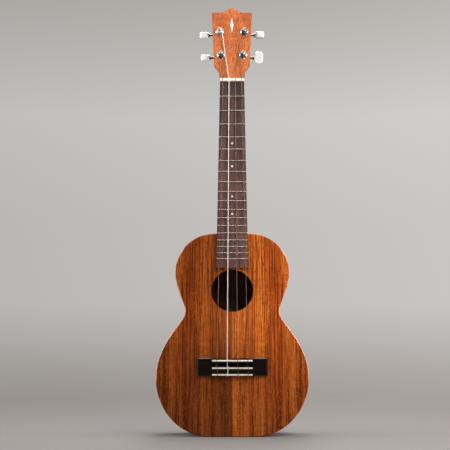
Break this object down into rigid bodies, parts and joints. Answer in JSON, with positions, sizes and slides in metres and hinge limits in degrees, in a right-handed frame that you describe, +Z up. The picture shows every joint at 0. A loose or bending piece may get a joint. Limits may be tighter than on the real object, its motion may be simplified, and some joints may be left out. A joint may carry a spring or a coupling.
{
  "type": "tenor ukulele",
  "caption": "Tenor ukulele: waisted koa soundbox with a round soundhole, fretted neck, tie bridge and a tilted head with worm-geared tuners that turn.",
  "frame": {"origin": "centre of the flat tail face, midway between the outer faces of the soundboard and the back at the tail", "axes": "+Z up the neck, -Y out of the soundboard towards the player's strumming hand, +X towards the thinnest string's side"},
  "size_m": [0.2324, 0.0805, 0.6773],
  "materials": {
    "koa_front": "satin lacquer",
    "koa_back": "satin lacquer",
    "koa_side": "satin lacquer",
    "koa_veneer": "satin lacquer",
    "mahogany": "satin lacquer",
    "rosewood_cap": "satin",
    "spruce": "raw, planed",
    "rosewood": "oiled, open pored",
    "ebony": "polished",
    "bone": "polished",
    "pearl": "polished shell",
    "fret_wire": "polished nickel silver",
    "button_pearloid": "pearly plastic",
    "gear_brass": "bright",
    "shaft_steel": "turned",
    "tuner_chrome": "polished",
    "string_clear": "clear fluorocarbon",
    "string_silver": "wound, silver plated"
  },
  "bodies": {
    "root": {"back_bass_half": "koa_back", "back_braces": "spruce", "back_linings": "spruce", "back_seam_strip": "spruce", "back_treble_half": "koa_back", "bridge": "ebony", "bridge_plate": "spruce", "fan_braces": "spruce", "fret_dots": "pearl", "fretboard": "rosewood", "frets": "fret_wire", "headplate": "koa_veneer", "headplate_inlay": "pearl", "heel_cap": "rosewood_cap", "lower_transverse_brace": "spruce", "neck": "mahogany", "neck_block": "mahogany", "nut": "bone", "saddle": "bone", "side_bass": "koa_side", "side_dots": "pearl", "side_treble": "koa_side", "soundboard_bass_half": "koa_front", "soundboard_treble_half": "koa_front", "soundhole_ring": "spruce", "string_a": "string_clear", "string_c": "string_silver", "string_e": "string_clear", "string_g": "string_clear", "tail_block": "mahogany", "tie_block_strips": "bone", "top_linings": "spruce", "tuner_bushings": "tuner_chrome", "tuner_plates": "tuner_chrome", "tuner_screws": "tuner_chrome", "upper_transverse_brace": "spruce"},
    "button_lower_bass": {"worm_shaft_lower_bass": "shaft_steel", "tuner_button_lower_bass": "button_pearloid"},
    "post_lower_bass": {"tuner_post_lower_bass": "tuner_chrome", "tuner_gear_lower_bass": "gear_brass", "gear_screw_lower_bass": "tuner_chrome", "string_winding_lower_bass": "string_clear"},
    "button_lower_treble": {"worm_shaft_lower_treble": "shaft_steel", "tuner_button_lower_treble": "button_pearloid"},
    "post_lower_treble": {"tuner_post_lower_treble": "tuner_chrome", "tuner_gear_lower_treble": "gear_brass", "gear_screw_lower_treble": "tuner_chrome", "string_winding_lower_treble": "string_clear"},
    "button_upper_bass": {"worm_shaft_upper_bass": "shaft_steel", "tuner_button_upper_bass": "button_pearloid"},
    "post_upper_bass": {"tuner_post_upper_bass": "tuner_chrome", "tuner_gear_upper_bass": "gear_brass", "gear_screw_upper_bass": "tuner_chrome", "string_winding_upper_bass": "string_silver"},
    "button_upper_treble": {"worm_shaft_upper_treble": "shaft_steel", "tuner_button_upper_treble": "button_pearloid"},
    "post_upper_treble": {"tuner_post_upper_treble": "tuner_chrome", "tuner_gear_upper_treble": "gear_brass", "gear_screw_upper_treble": "tuner_chrome", "string_winding_upper_treble": "string_clear"}
  },
  "joints": [
    {"name": "button_turn_lower_bass", "type": "hinge", "parent": "root", "child": "button_lower_bass", "pos_m": [-0.0175, -0.00748, 0.59492], "axis": [1, 0, 0], "continuous": true},
    {"name": "post_turn_lower_bass", "type": "hinge", "parent": "root", "child": "post_lower_bass", "pos_m": [-0.0175, -0.00872, 0.58905], "axis": [0, -0.9781, 0.2079], "continuous": true, "deforming": ["string_g"]},
    {"name": "button_turn_lower_treble", "type": "hinge", "parent": "root", "child": "button_lower_treble", "pos_m": [0.0175, -0.00748, 0.59492], "axis": [1, 0, 0], "continuous": true},
    {"name": "post_turn_lower_treble", "type": "hinge", "parent": "root", "child": "post_lower_treble", "pos_m": [0.0175, -0.00872, 0.58905], "axis": [0, -0.9781, 0.2079], "continuous": true, "deforming": ["string_a"]},
    {"name": "button_turn_upper_bass", "type": "hinge", "parent": "root", "child": "button_upper_bass", "pos_m": [-0.0196, 0.00115, 0.63551], "axis": [1, 0, 0], "continuous": true},
    {"name": "post_turn_upper_bass", "type": "hinge", "parent": "root", "child": "post_upper_bass", "pos_m": [-0.0196, -0.0001, 0.62964], "axis": [0, -0.9781, 0.2079], "continuous": true, "deforming": ["string_c"]},
    {"name": "button_turn_upper_treble", "type": "hinge", "parent": "root", "child": "button_upper_treble", "pos_m": [0.0196, 0.00115, 0.63551], "axis": [1, 0, 0], "continuous": true},
    {"name": "post_turn_upper_treble", "type": "hinge", "parent": "root", "child": "post_upper_treble", "pos_m": [0.0196, -0.0001, 0.62964], "axis": [0, -0.9781, 0.2079], "continuous": true, "deforming": ["string_e"]}
  ],
  "couplings": [
    {"joint": "post_turn_lower_bass", "follows": "button_turn_lower_bass", "ratio": -0.071429},
    {"joint": "post_turn_lower_treble", "follows": "button_turn_lower_treble", "ratio": 0.071429},
    {"joint": "post_turn_upper_bass", "follows": "button_turn_upper_bass", "ratio": -0.071429},
    {"joint": "post_turn_upper_treble", "follows": "button_turn_upper_treble", "ratio": 0.071429}
  ]
}
